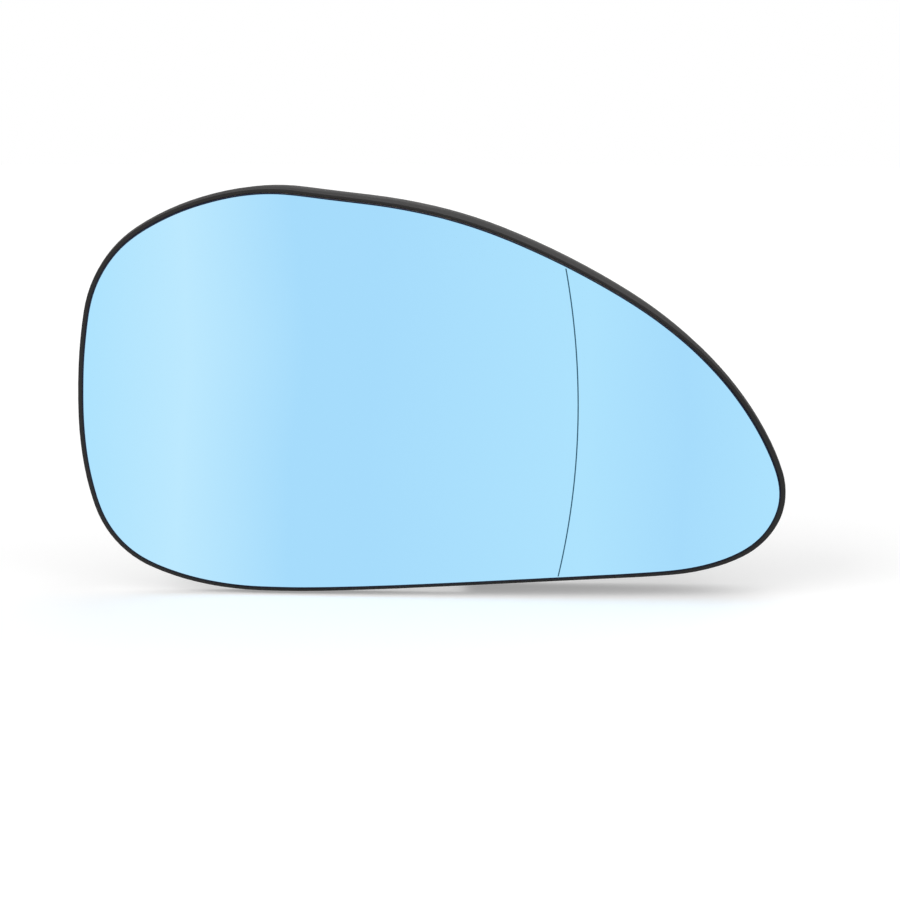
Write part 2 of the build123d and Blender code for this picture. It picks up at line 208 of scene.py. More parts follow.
class Effects:
    """Shader node groups that several finishes share, each built once."""

    def __init__(self) -> None:
        """Builds the groups."""
        self.grain = self._grain()
        self.speckle = self._speckle()

    @staticmethod
    def _new(name: str, inputs: dict[str, float], outputs: dict[str, str]) -> tuple[Graph, bpy.types.NodeTree]:
        """Starts a group with named sockets.

        Args:
            name: The group's name.
            inputs: Float inputs with their defaults.
            outputs: Outputs with their socket types.

        Returns:
            The graph and the group.
        """
        group = bpy.data.node_groups.new(name, "ShaderNodeTree")
        for label, default in inputs.items():
            socket = group.interface.new_socket(label, in_out="INPUT", socket_type="NodeSocketFloat")
            socket.default_value = default
        for label, kind in outputs.items():
            group.interface.new_socket(label, in_out="OUTPUT", socket_type=kind)
        return Graph(group), group

    def _grain(self) -> bpy.types.NodeTree:
        """Fine moulding grain: a roughness that drifts and a small surface height.

        Returns:
            The group with inputs Scale, Roughness, Spread and Height.
        """
        graph, group = self._new(
            "moulding_grain", {"Scale": 900.0, "Roughness": 0.4, "Spread": 0.1, "Height": 0.1},
            {"Roughness": "NodeSocketFloat", "Height": "NodeSocketFloat"})
        inlet = graph.add("NodeGroupInput")
        place = graph.add("ShaderNodeTexCoord").outputs["Object"]
        fine = graph.add("ShaderNodeTexNoise", in_Vector=place, in_Scale=inlet.outputs["Scale"], in_Detail=3.0)
        broad = graph.add("ShaderNodeTexNoise", in_Vector=place, in_Scale=38.0, in_Detail=4.0)
        centred = graph.add("ShaderNodeMath", operation="SUBTRACT", in_0=broad.outputs["Fac"], in_1=0.5)
        drift = graph.add("ShaderNodeMath", operation="MULTIPLY", in_0=centred.outputs[0],
                          in_1=inlet.outputs["Spread"])
        rough = graph.add("ShaderNodeMath", operation="ADD", in_0=drift.outputs[0],
                          in_1=inlet.outputs["Roughness"])
        height = graph.add("ShaderNodeMath", operation="MULTIPLY", in_0=fine.outputs["Fac"],
                           in_1=inlet.outputs["Height"])
        graph.add("NodeGroupOutput", in_Roughness=rough.outputs[0], in_Height=height.outputs[0])
        return group

    def _speckle(self) -> bpy.types.NodeTree:
        """Sparse dust specks: a mask that is 1 on a speck.

        Returns:
            The group with inputs Scale and Amount.
        """
        graph, group = self._new("dust_specks", {"Scale": 260.0, "Amount": 0.06}, {"Mask": "NodeSocketFloat"})
        inlet = graph.add("NodeGroupInput")
        place = graph.add("ShaderNodeTexCoord").outputs["Object"]
        cells = graph.add("ShaderNodeTexVoronoi", in_Vector=place, in_Scale=inlet.outputs["Scale"])
        thin = graph.add("ShaderNodeMath", operation="LESS_THAN", in_0=cells.outputs["Distance"],
                         in_1=inlet.outputs["Amount"])
        patch = graph.add("ShaderNodeTexNoise", in_Vector=place, in_Scale=55.0, in_Detail=2.0)
        rare = graph.add("ShaderNodeMath", operation="GREATER_THAN", in_0=patch.outputs["Fac"], in_1=0.6)
        both = graph.add("ShaderNodeMath", operation="MULTIPLY", in_0=thin.outputs[0], in_1=rare.outputs[0])
        graph.add("NodeGroupOutput", in_Mask=both.outputs[0])
        return group


@dataclass(frozen=True)
class Finish(ABC):
    """A surface finish that becomes one material.

    Attributes:
        name: The material's name.
        colour: Linear base colour.
        roughness: Middle roughness.
    """

    name: str
    colour: tuple[float, float, float, float]
    roughness: float

    def material(self, effects: Effects) -> bpy.types.Material:
        """Makes the material.

        Args:
            effects: The shared groups.

        Returns:
            The material.
        """
        made = bpy.data.materials.new(self.name)
        made.use_nodes = True
        made.node_tree.nodes.clear()
        graph = Graph(made.node_tree)
        shader = graph.add("ShaderNodeBsdfPrincipled", in_Base__Color=self.colour, in_Roughness=self.roughness)
        self.dress(graph, shader, effects)
        graph.add("ShaderNodeOutputMaterial", in_Surface=shader.outputs[0])
        made.diffuse_color = self.colour
        return made

    @abstractmethod
    def dress(self, graph: Graph, shader: bpy.types.Node, effects: Effects) -> None:
        """Adds the finish's own nodes.

        Args:
            graph: The material's graph.
            shader: The Principled shader.
            effects: The shared groups.
        """

    @staticmethod
    def group(graph: Graph, tree: bpy.types.NodeTree, **values: float) -> bpy.types.Node:
        """Places a shared group with its own values."""
        inputs = {f"in_{name}": value for name, value in values.items()}
        return graph.add("ShaderNodeGroup", node_tree=tree, **inputs)


@dataclass(frozen=True)
class MirrorCoat(Finish):
    """Blue tinted silvering under clear glass, with a soft drift of colour along its length whose palest band
    is a painted reflection.

    Attributes:
        pale: Colour of the palest band, near the broad end: a painted reflection.
        deep: Deepest tint.
        reach: Places of the broad end and the narrow end along x, in metres.
    """

    pale: tuple[float, float, float, float] = srgb(188, 233, 255)
    deep: tuple[float, float, float, float] = srgb(166, 220, 252)
    reach: tuple[float, float] = (-82 * MM, 94 * MM)

    def dress(self, graph: Graph, shader: bpy.types.Node, effects: Effects) -> None:
        """Metal reflection whose colour follows the length, with a painted reflection band near the broad end,
        wavers a little, and dulls on a few specks.

        Args:
            graph: The material's graph.
            shader: The Principled shader.
            effects: The shared groups.
        """
        shader.inputs["Metallic"].default_value = 1.0
        place = graph.add("ShaderNodeTexCoord").outputs["Object"]
        parts = graph.add("ShaderNodeSeparateXYZ", in_Vector=place)
        along = graph.add("ShaderNodeMapRange", in_Value=parts.outputs["X"])
        along.inputs["From Min"].default_value = self.reach[0]
        along.inputs["From Max"].default_value = self.reach[1]
        broad = graph.add("ShaderNodeTexNoise", in_Vector=place, in_Scale=14.0, in_Detail=1.0)
        waver = graph.add("ShaderNodeMapRange", in_Value=broad.outputs["Fac"])
        waver.inputs["To Min"].default_value = -0.05
        waver.inputs["To Max"].default_value = 0.05
        shifted = graph.add("ShaderNodeMath", operation="ADD", in_0=along.outputs["Result"],
                            in_1=waver.outputs["Result"])
        # The pale stop at 0.14 is a painted reflection, not a tint of the coat.
        stops = [(0.0, self.colour), (0.14, self.pale), (0.31, self.deep), (0.42, self.deep),
                 (0.72, self.colour), (0.86, self.deep), (1.0, self.colour)]
        graph.paint(shader, shifted.outputs[0], stops)
        specks = self.group(graph, effects.speckle, Scale=150.0, Amount=0.02)
        rough = graph.add("ShaderNodeMapRange", in_Value=specks.outputs["Mask"])
        rough.inputs["To Min"].default_value = self.roughness
        rough.inputs["To Max"].default_value = 0.25
        graph.feed(shader, "Roughness", rough.outputs["Result"])


@dataclass(frozen=True)
class GroundEdge(Finish):
    """Ground glass edge: pale, frosted and slightly uneven.

    Attributes:
        dark: Colour of the darker streaks.
    """

    dark: tuple[float, float, float, float] = srgb(120, 104, 66)

    def dress(self, graph: Graph, shader: bpy.types.Node, effects: Effects) -> None:
        """Frosted streaks from the grinding wheel.

        Args:
            graph: The material's graph.
            shader: The Principled shader.
            effects: The shared groups.
        """
        place = graph.add("ShaderNodeTexCoord").outputs["Object"]
        streaks = graph.add("ShaderNodeTexNoise", in_Vector=place, in_Scale=420.0, in_Detail=5.0)
        graph.paint(shader, streaks.outputs["Fac"], [(0.3, self.dark), (0.7, self.colour)])
        graph.emboss(shader, streaks.outputs["Fac"], 0.25, 0.2 * MM)
        shader.inputs["Specular IOR Level"].default_value = 0.6


@dataclass(frozen=True)
class MouldedPlastic(Finish):
    """Moulded plastic with a fine grain, drifting gloss and a few dust specks.

    Attributes:
        specular: Strength of the gloss.
        cast: Tint of the gloss; where it isn't neutral it is a painted reflection.
        bloom: Strength of the dusty bloom that shows at a grazing angle.
        spread: How far the roughness drifts.
        height: Depth of the grain.
        grain_scale: Size of the grain, as a texture scale.
        dust: Amount of dust specks.
    """

    specular: float = 0.3
    cast: tuple[float, float, float, float] = NEUTRAL
    bloom: float = 0.0
    spread: float = 0.14
    height: float = 0.5
    grain_scale: float = 2400.0
    dust: float = 0.03

    def dress(self, graph: Graph, shader: bpy.types.Node, effects: Effects) -> None:
        """Grain in the height, drift in the roughness, specks in the colour.

        Args:
            graph: The material's graph.
            shader: The Principled shader.
            effects: The shared groups.
        """
        grain = self.group(graph, effects.grain, Scale=self.grain_scale, Roughness=self.roughness,
                           Spread=self.spread, Height=self.height)
        graph.feed(shader, "Roughness", grain.outputs["Roughness"])
        graph.emboss(shader, grain.outputs["Height"], 0.4, 0.1 * MM)
        specks = self.group(graph, effects.speckle, Scale=330.0, Amount=self.dust)
        pale = tuple(min(1.0, channel * 1.5 + 0.06) for channel in self.colour[:3]) + (1.0,)
        graph.paint(shader, specks.outputs["Mask"], [(0.0, self.colour), (1.0, pale)])
        shader.inputs["Specular IOR Level"].default_value = self.specular
        shader.inputs["Specular Tint"].default_value = self.cast
        shader.inputs["Sheen Weight"].default_value = self.bloom
        shader.inputs["Sheen Roughness"].default_value = 0.35


@dataclass(frozen=True)
class GlossFilm(Finish):
    """Printed plastic film: smooth and dark with a soft unevenness.

    Attributes:
        specular: Strength of the gloss.
        cast: Tint of the gloss; where it isn't neutral it is a painted reflection.
        coat: Strength of the clear coat.
    """

    specular: float = 0.5
    cast: tuple[float, float, float, float] = NEUTRAL
    coat: float = 0.0

    def dress(self, graph: Graph, shader: bpy.types.Node, effects: Effects) -> None:
        """Slow waves in the film and a few specks.

        Args:
            graph: The material's graph.
            shader: The Principled shader.
            effects: The shared groups.
        """
        place = graph.add("ShaderNodeTexCoord").outputs["Object"]
        waves = graph.add("ShaderNodeTexNoise", in_Vector=place, in_Scale=46.0, in_Detail=2.0)
        graph.emboss(shader, waves.outputs["Fac"], 0.12, 0.6 * MM)
        specks = self.group(graph, effects.speckle, Scale=300.0, Amount=0.045)
        pale = tuple(min(1.0, channel + 0.12) for channel in self.colour[:3]) + (1.0,)
        graph.paint(shader, specks.outputs["Mask"], [(0.0, self.colour), (1.0, pale)])
        shader.inputs["Specular IOR Level"].default_value = self.specular
        shader.inputs["Specular Tint"].default_value = self.cast
        shader.inputs["Coat Weight"].default_value = self.coat
        shader.inputs["Coat Roughness"].default_value = 0.08


@dataclass(frozen=True)
class Metal(Finish):
    """Worked metal with fine directional marks and a tarnish that drifts.

    Attributes:
        tarnish: Colour of the duller patches.
        stretch: Scale of the marks along each axis.
    """

    tarnish: tuple[float, float, float, float] = srgb(120, 110, 90)
    stretch: tuple[float, float, float] = (1.0, 6.0, 1.0)

    def dress(self, graph: Graph, shader: bpy.types.Node, effects: Effects) -> None:
        """Rolled marks in the height and patches in the colour.

        Args:
            graph: The material's graph.
            shader: The Principled shader.
            effects: The shared groups.
        """
        shader.inputs["Metallic"].default_value = 1.0
        place = graph.add("ShaderNodeTexCoord").outputs["Object"]
        run = graph.add("ShaderNodeMapping", in_Vector=place, in_Scale=self.stretch)
        marks = graph.add("ShaderNodeTexNoise", in_Vector=run.outputs[0], in_Scale=1500.0, in_Detail=3.0)
        patches = graph.add("ShaderNodeTexNoise", in_Vector=place, in_Scale=210.0, in_Detail=4.0)
        graph.paint(shader, patches.outputs["Fac"], [(0.38, self.tarnish), (0.62, self.colour)])
        grain = self.group(graph, effects.grain, Scale=1800.0, Roughness=self.roughness, Spread=0.2, Height=0.3)
        graph.feed(shader, "Roughness", grain.outputs["Roughness"])
        graph.emboss(shader, marks.outputs["Fac"], 0.2, 0.06 * MM)


@dataclass(frozen=True)
class Nylon(Finish):
    """Natural nylon: milky, slightly translucent and yellowed in patches.

    Attributes:
        aged: Colour of the yellowed patches.
    """

    aged: tuple[float, float, float, float] = srgb(206, 200, 172)

    def dress(self, graph: Graph, shader: bpy.types.Node, effects: Effects) -> None:
        """Milky depth with soft patches.

        Args:
            graph: The material's graph.
            shader: The Principled shader.
            effects: The shared groups.
        """
        place = graph.add("ShaderNodeTexCoord").outputs["Object"]
        patches = graph.add("ShaderNodeTexNoise", in_Vector=place, in_Scale=90.0, in_Detail=3.0)
        graph.paint(shader, patches.outputs["Fac"], [(0.35, self.aged), (0.65, self.colour)])
        grain = self.group(graph, effects.grain, Scale=1900.0, Roughness=self.roughness, Spread=0.1, Height=0.2)
        graph.feed(shader, "Roughness", grain.outputs["Roughness"])
        graph.emboss(shader, grain.outputs["Height"], 0.2, 0.06 * MM)
        shader.inputs["Subsurface Weight"].default_value = 0.35
        shader.inputs["Subsurface Radius"].default_value = (1.5 * MM, 1.3 * MM, 0.9 * MM)


@dataclass(frozen=True)
class Ink(Finish):
    """Conductive ink: dull silver grey with a screen-printed mottle.

    Attributes:
        light: Colour of the mottle's light spots.
    """

    light: tuple[float, float, float, float] = srgb(176, 172, 160)

    def dress(self, graph: Graph, shader: bpy.types.Node, effects: Effects) -> None:
        """Mottle of the print.

        Args:
            graph: The material's graph.
            shader: The Principled shader.
            effects: The shared groups.
        """
        place = graph.add("ShaderNodeTexCoord").outputs["Object"]
        mottle = graph.add("ShaderNodeTexNoise", in_Vector=place, in_Scale=900.0, in_Detail=6.0)
        graph.paint(shader, mottle.outputs["Fac"], [(0.3, self.colour), (0.7, self.light)])
        graph.emboss(shader, mottle.outputs["Fac"], 0.3, 0.05 * MM)
        shader.inputs["Metallic"].default_value = 0.35


class Palette:
    """Every material of the object."""

    def __init__(self) -> None:
        """Makes the shared groups and the materials."""
        effects = Effects()
        finishes = {
            "mirror": MirrorCoat("mirror_coat", srgb(174, 227, 254), 0.012),
            "bevel": GlossFilm("dark_glass_bevel", srgb(20, 28, 52), 0.3, 0.1),
            "ground_edge": GroundEdge("ground_glass_edge", srgb(200, 178, 120), 0.42),
            "backing": GlossFilm("mirror_backing_paint", srgb(46, 48, 50), 0.4),
            "amber": GroundEdge("amber_adhesive", srgb(190, 158, 92), 0.35),
            # The heater film is black; its blue colour and blue gloss tint are a painted reflection.
            "film": GlossFilm("heater_film_painted_blue_reflection", srgb(27, 47, 58), 0.14, 0.6, (0.55, 0.82, 1.0, 1.0)),
            "ink": Ink("conductive_ink", srgb(134, 132, 124), 0.46),
            "moulding": MouldedPlastic("black_moulding", srgb(25, 25, 25), 0.42),
            "skirt": MouldedPlastic("textured_skirt", srgb(49, 48, 48), 0.7, 0.1, bloom=0.04),
            # The carrier's rounded edges are lighter than the moulding: a painted highlight.
            "worn_edge": MouldedPlastic("glossy_edge_painted_highlight", srgb(66, 66, 67), 0.3, 0.42, height=0.15, dust=0.0),
            # The tray's cool colour and blue gloss tint are a painted reflection.
            "tray": MouldedPlastic("smooth_tray_painted_blue_reflection", srgb(25, 28, 30), 0.32, 0.36, (0.62, 0.88, 1.0, 1.0)),
            "nylon": Nylon("natural_nylon", srgb(236, 233, 214), 0.38),
            "wire": Metal("spring_wire", srgb(182, 156, 108), 0.3, srgb(92, 74, 46)),
            "tinned": Metal("tinned_tab", srgb(176, 186, 184), 0.3, srgb(138, 136, 120)),
            "cut_edge": Metal("cut_brass_edge", srgb(196, 172, 122), 0.34, srgb(112, 90, 54)),
            "eyelet": Metal("brass_eyelet", srgb(226, 220, 194), 0.24, srgb(176, 156, 112)),
            "arm": Metal("blackened_strip", srgb(84, 80, 78), 0.38, srgb(40, 36, 33), (6.0, 1.0, 6.0)),
            # The arm's rounded edges are light steel: a painted highlight.
            "arm_edge": Metal("steel_edge_painted_highlight", srgb(168, 164, 158), 0.3, srgb(104, 98, 90),
                              (6.0, 1.0, 6.0)),
            "line": GlossFilm("dividing_line_etch", srgb(32, 86, 110), 0.5, 0.3),
        }
        self.made = {key: finish.material(effects) for key, finish in finishes.items()}

    def __getitem__(self, key: str) -> bpy.types.Material:
        """Material by its key."""
        return self.made[key]


class Workshop:
    """Puts finished meshes into the scene and onto the frame."""

    def __init__(self, frame: dict, palette: Palette) -> None:
        """Keeps the frame and the materials.

        Args:
            palette: The materials.
        """
        self.nodes = frame["nodes"]
        self.slots = {entry["node"]: entry["material_slot"] for entry in frame["record"]["subparts"]}
        self.palette = palette

    def grid(self, name: str, points: np.ndarray, closed: bool = False) -> bpy.types.Object:
        """Object from a grid of points, with quads between neighbours.

        Args:
            name: The object's name.
            points: Array of rows by columns by 3, in metres.
            closed: Whether each row closes on itself.

        Returns:
            The object.
        """
        rows, columns = points.shape[:2]
        index = np.arange(rows * columns).reshape(rows, columns)
        if closed:
            index = np.concatenate([index, index[:, :1]], axis=1)
        here, below = index[:-1], index[1:]
        quads = np.stack([here[:, :-1], here[:, 1:], below[:, 1:], below[:, :-1]], axis=-1)
        return self.mesh(name, points.reshape(-1, 3), quads.reshape(-1, 4))

    def mesh(self, name: str, points: np.ndarray, faces: np.ndarray | list) -> bpy.types.Object:
        """Object from points and faces.

        Args:
            name: The object's name.
            points: Array of points in metres.
            faces: Corner numbers of each face.

        Returns:
            The object.
        """
        data = bpy.data.meshes.new(name)
        data.from_pydata(points.tolist(), [], faces.tolist() if isinstance(faces, np.ndarray) else faces)
        data.update()
        made = bpy.data.objects.new(name, data)
        bpy.context.collection.objects.link(made)
        return made

    @staticmethod
    def tidy(piece: bpy.types.Object) -> None:
        """Merges doubles, which closes the poles, and turns the faces outwards.

        Args:
            piece: The object.
        """
        work = bmesh.new()
        work.from_mesh(piece.data)
        bmesh.ops.remove_doubles(work, verts=work.verts, dist=POLE_MERGE)
        bmesh.ops.recalc_face_normals(work, faces=work.faces)
        work.to_mesh(piece.data)
        work.free()

    @staticmethod
    def shade(piece: bpy.types.Object, shading: Shading) -> None:
        """Sets how a piece's faces are lit.

        Args:
            piece: The object.
            shading: Smooth, or smooth up to an angle.
        """
        piece.data.polygons.foreach_set("use_smooth", np.ones(len(piece.data.polygons), dtype=bool))
        if shading is Shading.BY_ANGLE:
            piece.data.set_sharp_from_angle(angle=SMOOTH_UP_TO)

    def mount(self, piece: bpy.types.Object, node: str, finishes: list[str], replace: bool = True) -> None:
        """Gives a piece its finishes and ties it to the frame's root body.

        Args:
            piece: The object.
            node: The node it belongs to, hidden when the piece stands for it.
            finishes: Keys of its materials, in slot order.
            replace: Whether the piece stands for the node.
        """
        for key in finishes:
            piece.data.materials.append(self.palette[key])
        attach(piece, "root")
        if replace:
            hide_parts(node)
        LOG.info("%s: %d faces", piece.name, len(piece.data.polygons))

    def softened(self, node: str, finishes: list[str], width: float, name: str,
                 regions: Callable[[np.ndarray, np.ndarray], np.ndarray] | None = None,
                 edge: str | None = None) -> bpy.types.Object:
        """Copy of a node with small rounded edges.

        Args:
            node: The node.
            finishes: Keys of its materials.
            width: Width of the rounded edges in metres.
            name: The copy's name.
            regions: Gives each face's material number from the faces' normals and middles.
            edge: Key of the rounded edges' own material, where they have one.

        Returns:
            The copy.
        """
        source = self.nodes[node]
        piece = bpy.data.objects.new(name, source.data.copy())
        bpy.context.collection.objects.link(piece)
        piece.data.materials.clear()
        work = bmesh.new()
        work.from_mesh(piece.data)
        bmesh.ops.remove_doubles(work, verts=work.verts, dist=NODE_MERGE)
        bmesh.ops.dissolve_limit(work, angle_limit=FLAT_UP_TO, verts=work.verts, edges=work.edges)
        work.to_mesh(piece.data)
        work.free()
        if regions:
            faces = piece.data.polygons
            normals, middles = np.empty(len(faces) * 3), np.empty(len(faces) * 3)
            faces.foreach_get("normal", normals)
            faces.foreach_get("center", middles)
            faces.foreach_set("material_index", regions(normals.reshape(-1, 3), middles.reshape(-1, 3)))
        self.shade(piece, Shading.BY_ANGLE)
        bevel = piece.modifiers.new("edges", "BEVEL")
        bevel.width = width
        bevel.segments = ROUNDING_SEGMENTS
        bevel.limit_method = "ANGLE"
        bevel.angle_limit = ROUNDED_FROM
        bevel.harden_normals = True
        bevel.use_clamp_overlap = True
        # The rounded edges' own material is lighter than the faces: a painted highlight.
        if edge:
            finishes = finishes + [edge]
            bevel.material = len(finishes) - 1
        self.mount(piece, node, finishes)
        return piece


@dataclass
class CurvedPlate:
    """Curvature that the glass and its sheets share: a sphere, then a tighter arc outwards.

    Attributes:
        main_radius: Radius of the main zone.
        outer_radius: Radius along the outer zone.
        apex_x: Place of the sphere's foremost point.
        divide_x: Where the outer zone starts.
        front_y: Depth of the foremost point.
    """

    main_radius: float = 2000 * MM
    outer_radius: float = 760 * MM
    apex_x: float = 10 * MM
    divide_x: float = 40 * MM
    front_y: float = -6.6 * MM

    def depth(self, x: np.ndarray, z: np.ndarray, behind: float) -> np.ndarray:
        """Y of the surface that lies a distance behind the glass's front.

        The section along x is two tangent arcs, and it turns about an axis parallel to x through the first
        arc's centre, so y is the axis less the root of the section's distance squared less z squared.

        Args:
            x: Places along the glass.
            z: Heights.
            behind: Distance behind the front face.

        Returns:
            Array of y.
        """
        centre_y = self.front_y + self.main_radius
        turn = math.asin((self.divide_x - self.apex_x) / self.main_radius)
        reach = self.main_radius - self.outer_radius
        outer_x = self.apex_x + reach * math.sin(turn)
        outer_y = centre_y - reach * math.cos(turn)
        main = self.main_radius - behind
        outer = self.outer_radius - behind
        joint = self.apex_x + main * math.sin(turn)
        inner_arc = centre_y - np.sqrt(main ** 2 - (x - self.apex_x) ** 2)
        outer_arc = outer_y - np.sqrt(np.maximum(outer ** 2 - (x - outer_x) ** 2, 0))
        section = np.where(x > joint, outer_arc, inner_arc)
        return centre_y - np.sqrt((centre_y - section) ** 2 - z ** 2)


@dataclass
class Outline:
    """Outline of the glass, read from the frame as a radius for each direction.

    Attributes:
        node: The glass's node.
        harmonics: How many waves describe the outline.
        steps: Points round the outline.
        samples: Places where the side wall is read.
        centre: Middle that the directions are counted from, as x and z.
    """

    node: bpy.types.Object
    harmonics: int = 44
    steps: int = 480
    samples: int = 3600
    centre: np.ndarray = field(default_factory=lambda: np.array([4.0, 2.0]) * MM)

    def __post_init__(self) -> None:
        """Walks the chords of the side wall, takes each direction's radius and fits a sum of waves to it."""
        data = self.node.data
        normals = np.empty(len(data.polygons) * 3)
        data.polygons.foreach_get("normal", normals)
        wall = np.abs(normals.reshape(-1, 3)[:, 1]) < 0.5
        corners = np.empty(len(data.loops), dtype=np.int32)
        data.loops.foreach_get("vertex_index", corners)
        places = np.empty(len(data.vertices) * 3)
        data.vertices.foreach_get("co", places)
        rim = places.reshape(-1, 3)[np.unique(corners.reshape(-1, 3)[wall])][:, [0, 2]] - self.centre
        turn = np.arctan2(rim[:, 1], rim[:, 0])
        order = np.argsort(turn)
        even = np.linspace(-math.pi, math.pi, self.samples, endpoint=False)
        known = turn[order]
        chord = np.stack([np.interp(even, known, rim[order, axis], period=2 * math.pi) for axis in (0, 1)])
        basis = self._basis(np.arctan2(chord[1], chord[0]))
        self.waves, *_ = np.linalg.lstsq(basis, np.hypot(chord[0], chord[1]), rcond=None)
        self.angles = np.linspace(0, 2 * math.pi, self.steps, endpoint=False)

    def _basis(self, angle: np.ndarray) -> np.ndarray:
        """Cosines and sines of the angle's multiples, one column each."""
        turns = np.arange(self.harmonics + 1)
        return np.concatenate([np.cos(np.outer(angle, turns)), np.sin(np.outer(angle, turns[1:]))], axis=1)

    def radius(self, angle: np.ndarray) -> np.ndarray:
        """Distance of the outline from the centre in each direction."""
        return self._basis(angle) @ self.waves

    def ring(self, inset: float = 0.0) -> np.ndarray:
        """Points of the outline moved inwards along its normals.

        Args:
            inset: Distance inwards, negative for outwards.

        Returns:
            Array of steps by 2, as x and z.
        """
        radius = self.radius(self.angles)
        points = np.stack([radius * np.cos(self.angles), radius * np.sin(self.angles)], axis=1)
        along = np.roll(points, -1, axis=0) - np.roll(points, 1, axis=0)
        along /= np.linalg.norm(along, axis=1, keepdims=True)
        inwards = np.stack([-along[:, 1], along[:, 0]], axis=1)
        return points + self.centre + inwards * inset


@dataclass
class MirrorPlate:
    """The silvered glass: a curved front, a ground bevel, its edge and its painted back.

    Attributes:
        shop: The workshop.
        curve: The glass's curvature.
        outline: The glass's outline.
        thickness: Thickness of the glass.
        bevel: Width of the ground bevel.
        bevel_steps: Inset and depth of the bevel's rings, as shares of its width.
        back_round: Rounding of the back's edge.
        coat_depth: How far the coated front lies inside the solid's.
        line_depth: The same for the dividing line.
        rings: Rings of points between the middle and the bevel.
        line_half: Half width of the dividing line.
        line_crown: Place of the line's crown, as x and z.
        line_radius: Radius of the line's arc.
        line_margin: Distance that the line keeps from the bevel.
        line_search: Height up and down within which the line's ends are looked for.
        line_samples: Places looked at for the ends.
        line_steps: Points along the line.
        back_shares: Rings of the back, as shares of its rim.
    """

    shop: Workshop
    curve: CurvedPlate
    outline: Outline
    thickness: float = 2 * MM
    bevel: float = 0.4 * MM
    bevel_steps: tuple[tuple[float, float], ...] = ((1.0, 0.0), (0.45, 0.18), (0.0, 0.9))
    back_round: float = 0.2 * MM
    coat_depth: float = 0.012 * MM
    line_depth: float = 0.002 * MM
    rings: int = 44
    line_half: float = 0.16 * MM
    line_crown: tuple[float, float] = (42.1 * MM, -1.3 * MM)
    line_radius: float = 192 * MM
    line_margin: float = 0.3 * MM
    line_search: float = 60 * MM
    line_samples: int = 1201
    line_steps: int = 90
    back_shares: tuple[float, ...] = (0.8, 0.5, 0.2, 0.0)

    def build(self) -> None:
        """Makes the coated front, the ground edge with the back, and the dividing line."""
        self._front()
        self._edge()
        self._line()

    def _front(self) -> None:
        """Front face, a hair inside: rings of the outline shrunk towards its centre, laid on the curve."""
        rim = self.outline.ring(self.bevel)
        share = np.linspace(1.0, 0.0, self.rings)[:, None, None]
        flat = self.outline.centre + (rim[None] - self.outline.centre) * np.sqrt(share)
        points = self._lay(flat, self.coat_depth)
        front = self.shop.grid("mirror_front", points, closed=True)
        self.shop.tidy(front)
        self._face(front, -1.0)
        self.shop.shade(front, Shading.SMOOTH)
        self.shop.mount(front, "mirror_glass", ["mirror"])

    def _lay(self, flat: np.ndarray, behind: float) -> np.ndarray:
        """Puts x and z pairs on the curved surface a distance behind the front."""
        y = self.curve.depth(flat[..., 0], flat[..., 1], behind)
        return np.stack([flat[..., 0], y, flat[..., 1]], axis=-1)

    @staticmethod
    def _face(piece: bpy.types.Object, side: float) -> None:
        """Turns an open sheet's faces so that they point along y with the given sign."""
        if piece.data.polygons[0].normal.y * side < 0:
            piece.data.flip_normals()

    def _edge(self) -> None:
        """Bevel, edge and back: rings from the front's rim round to the middle of the back."""
        profile = [(self.bevel * inset, self.bevel * depth) for inset, depth in self.bevel_steps]
        profile += [(0.0, self.thickness - self.back_round), (self.back_round, self.thickness)]
        rows = [self._lay(self.outline.ring(inset), behind) for inset, behind in profile]
        rim = self.outline.ring(self.back_round)
        for share in self.back_shares:
            flat = self.outline.centre + (rim - self.outline.centre) * share
            rows.append(self._lay(flat, self.thickness))
        edge = self.shop.grid("mirror_edge", np.stack(rows), closed=True)
        count = self.outline.steps
        slots = np.repeat(np.array([0, 0, 1, 1, 2, 2, 2, 2], dtype=np.int32), count)
        edge.data.polygons.foreach_set("material_index", slots)
        self.shop.tidy(edge)
        self.shop.shade(edge, Shading.BY_ANGLE)
        self.shop.mount(edge, "mirror_glass", ["bevel", "ground_edge", "backing"])

    def _line(self) -> None:
        """Dividing line: a narrow strip along a circular arc from edge to edge, just proud of the coat.

        Its x is the crown's x less the radius, plus the root of the radius squared less the height over the
        crown squared.
        """
        centre_x = self.line_crown[0] - self.line_radius
        x, z = self._arc(centre_x, np.linspace(-self.line_search, self.line_search, self.line_samples))
        away = np.stack([x, z], axis=1) - self.outline.centre
        room = self.outline.radius(np.arctan2(away[:, 1], away[:, 0])) - np.linalg.norm(away, axis=1)
        inside = z[room > self.bevel + self.line_margin]
        x, z = self._arc(centre_x, np.linspace(inside[0], inside[-1], self.line_steps))
        flat = np.stack([np.stack([x - self.line_half, z], axis=1), np.stack([x + self.line_half, z], axis=1)])
        line = self.shop.grid("dividing_line", self._lay(flat, self.line_depth))
        self._face(line, -1.0)
        self.shop.shade(line, Shading.SMOOTH)
        self.shop.mount(line, "mirror_glass", ["line"], replace=False)

    def _arc(self, centre_x: float, z: np.ndarray) -> tuple[np.ndarray, np.ndarray]:
        """X and z of the line's middle at the given heights."""
        return centre_x + np.sqrt(self.line_radius ** 2 - (z - self.line_crown[1]) ** 2), z


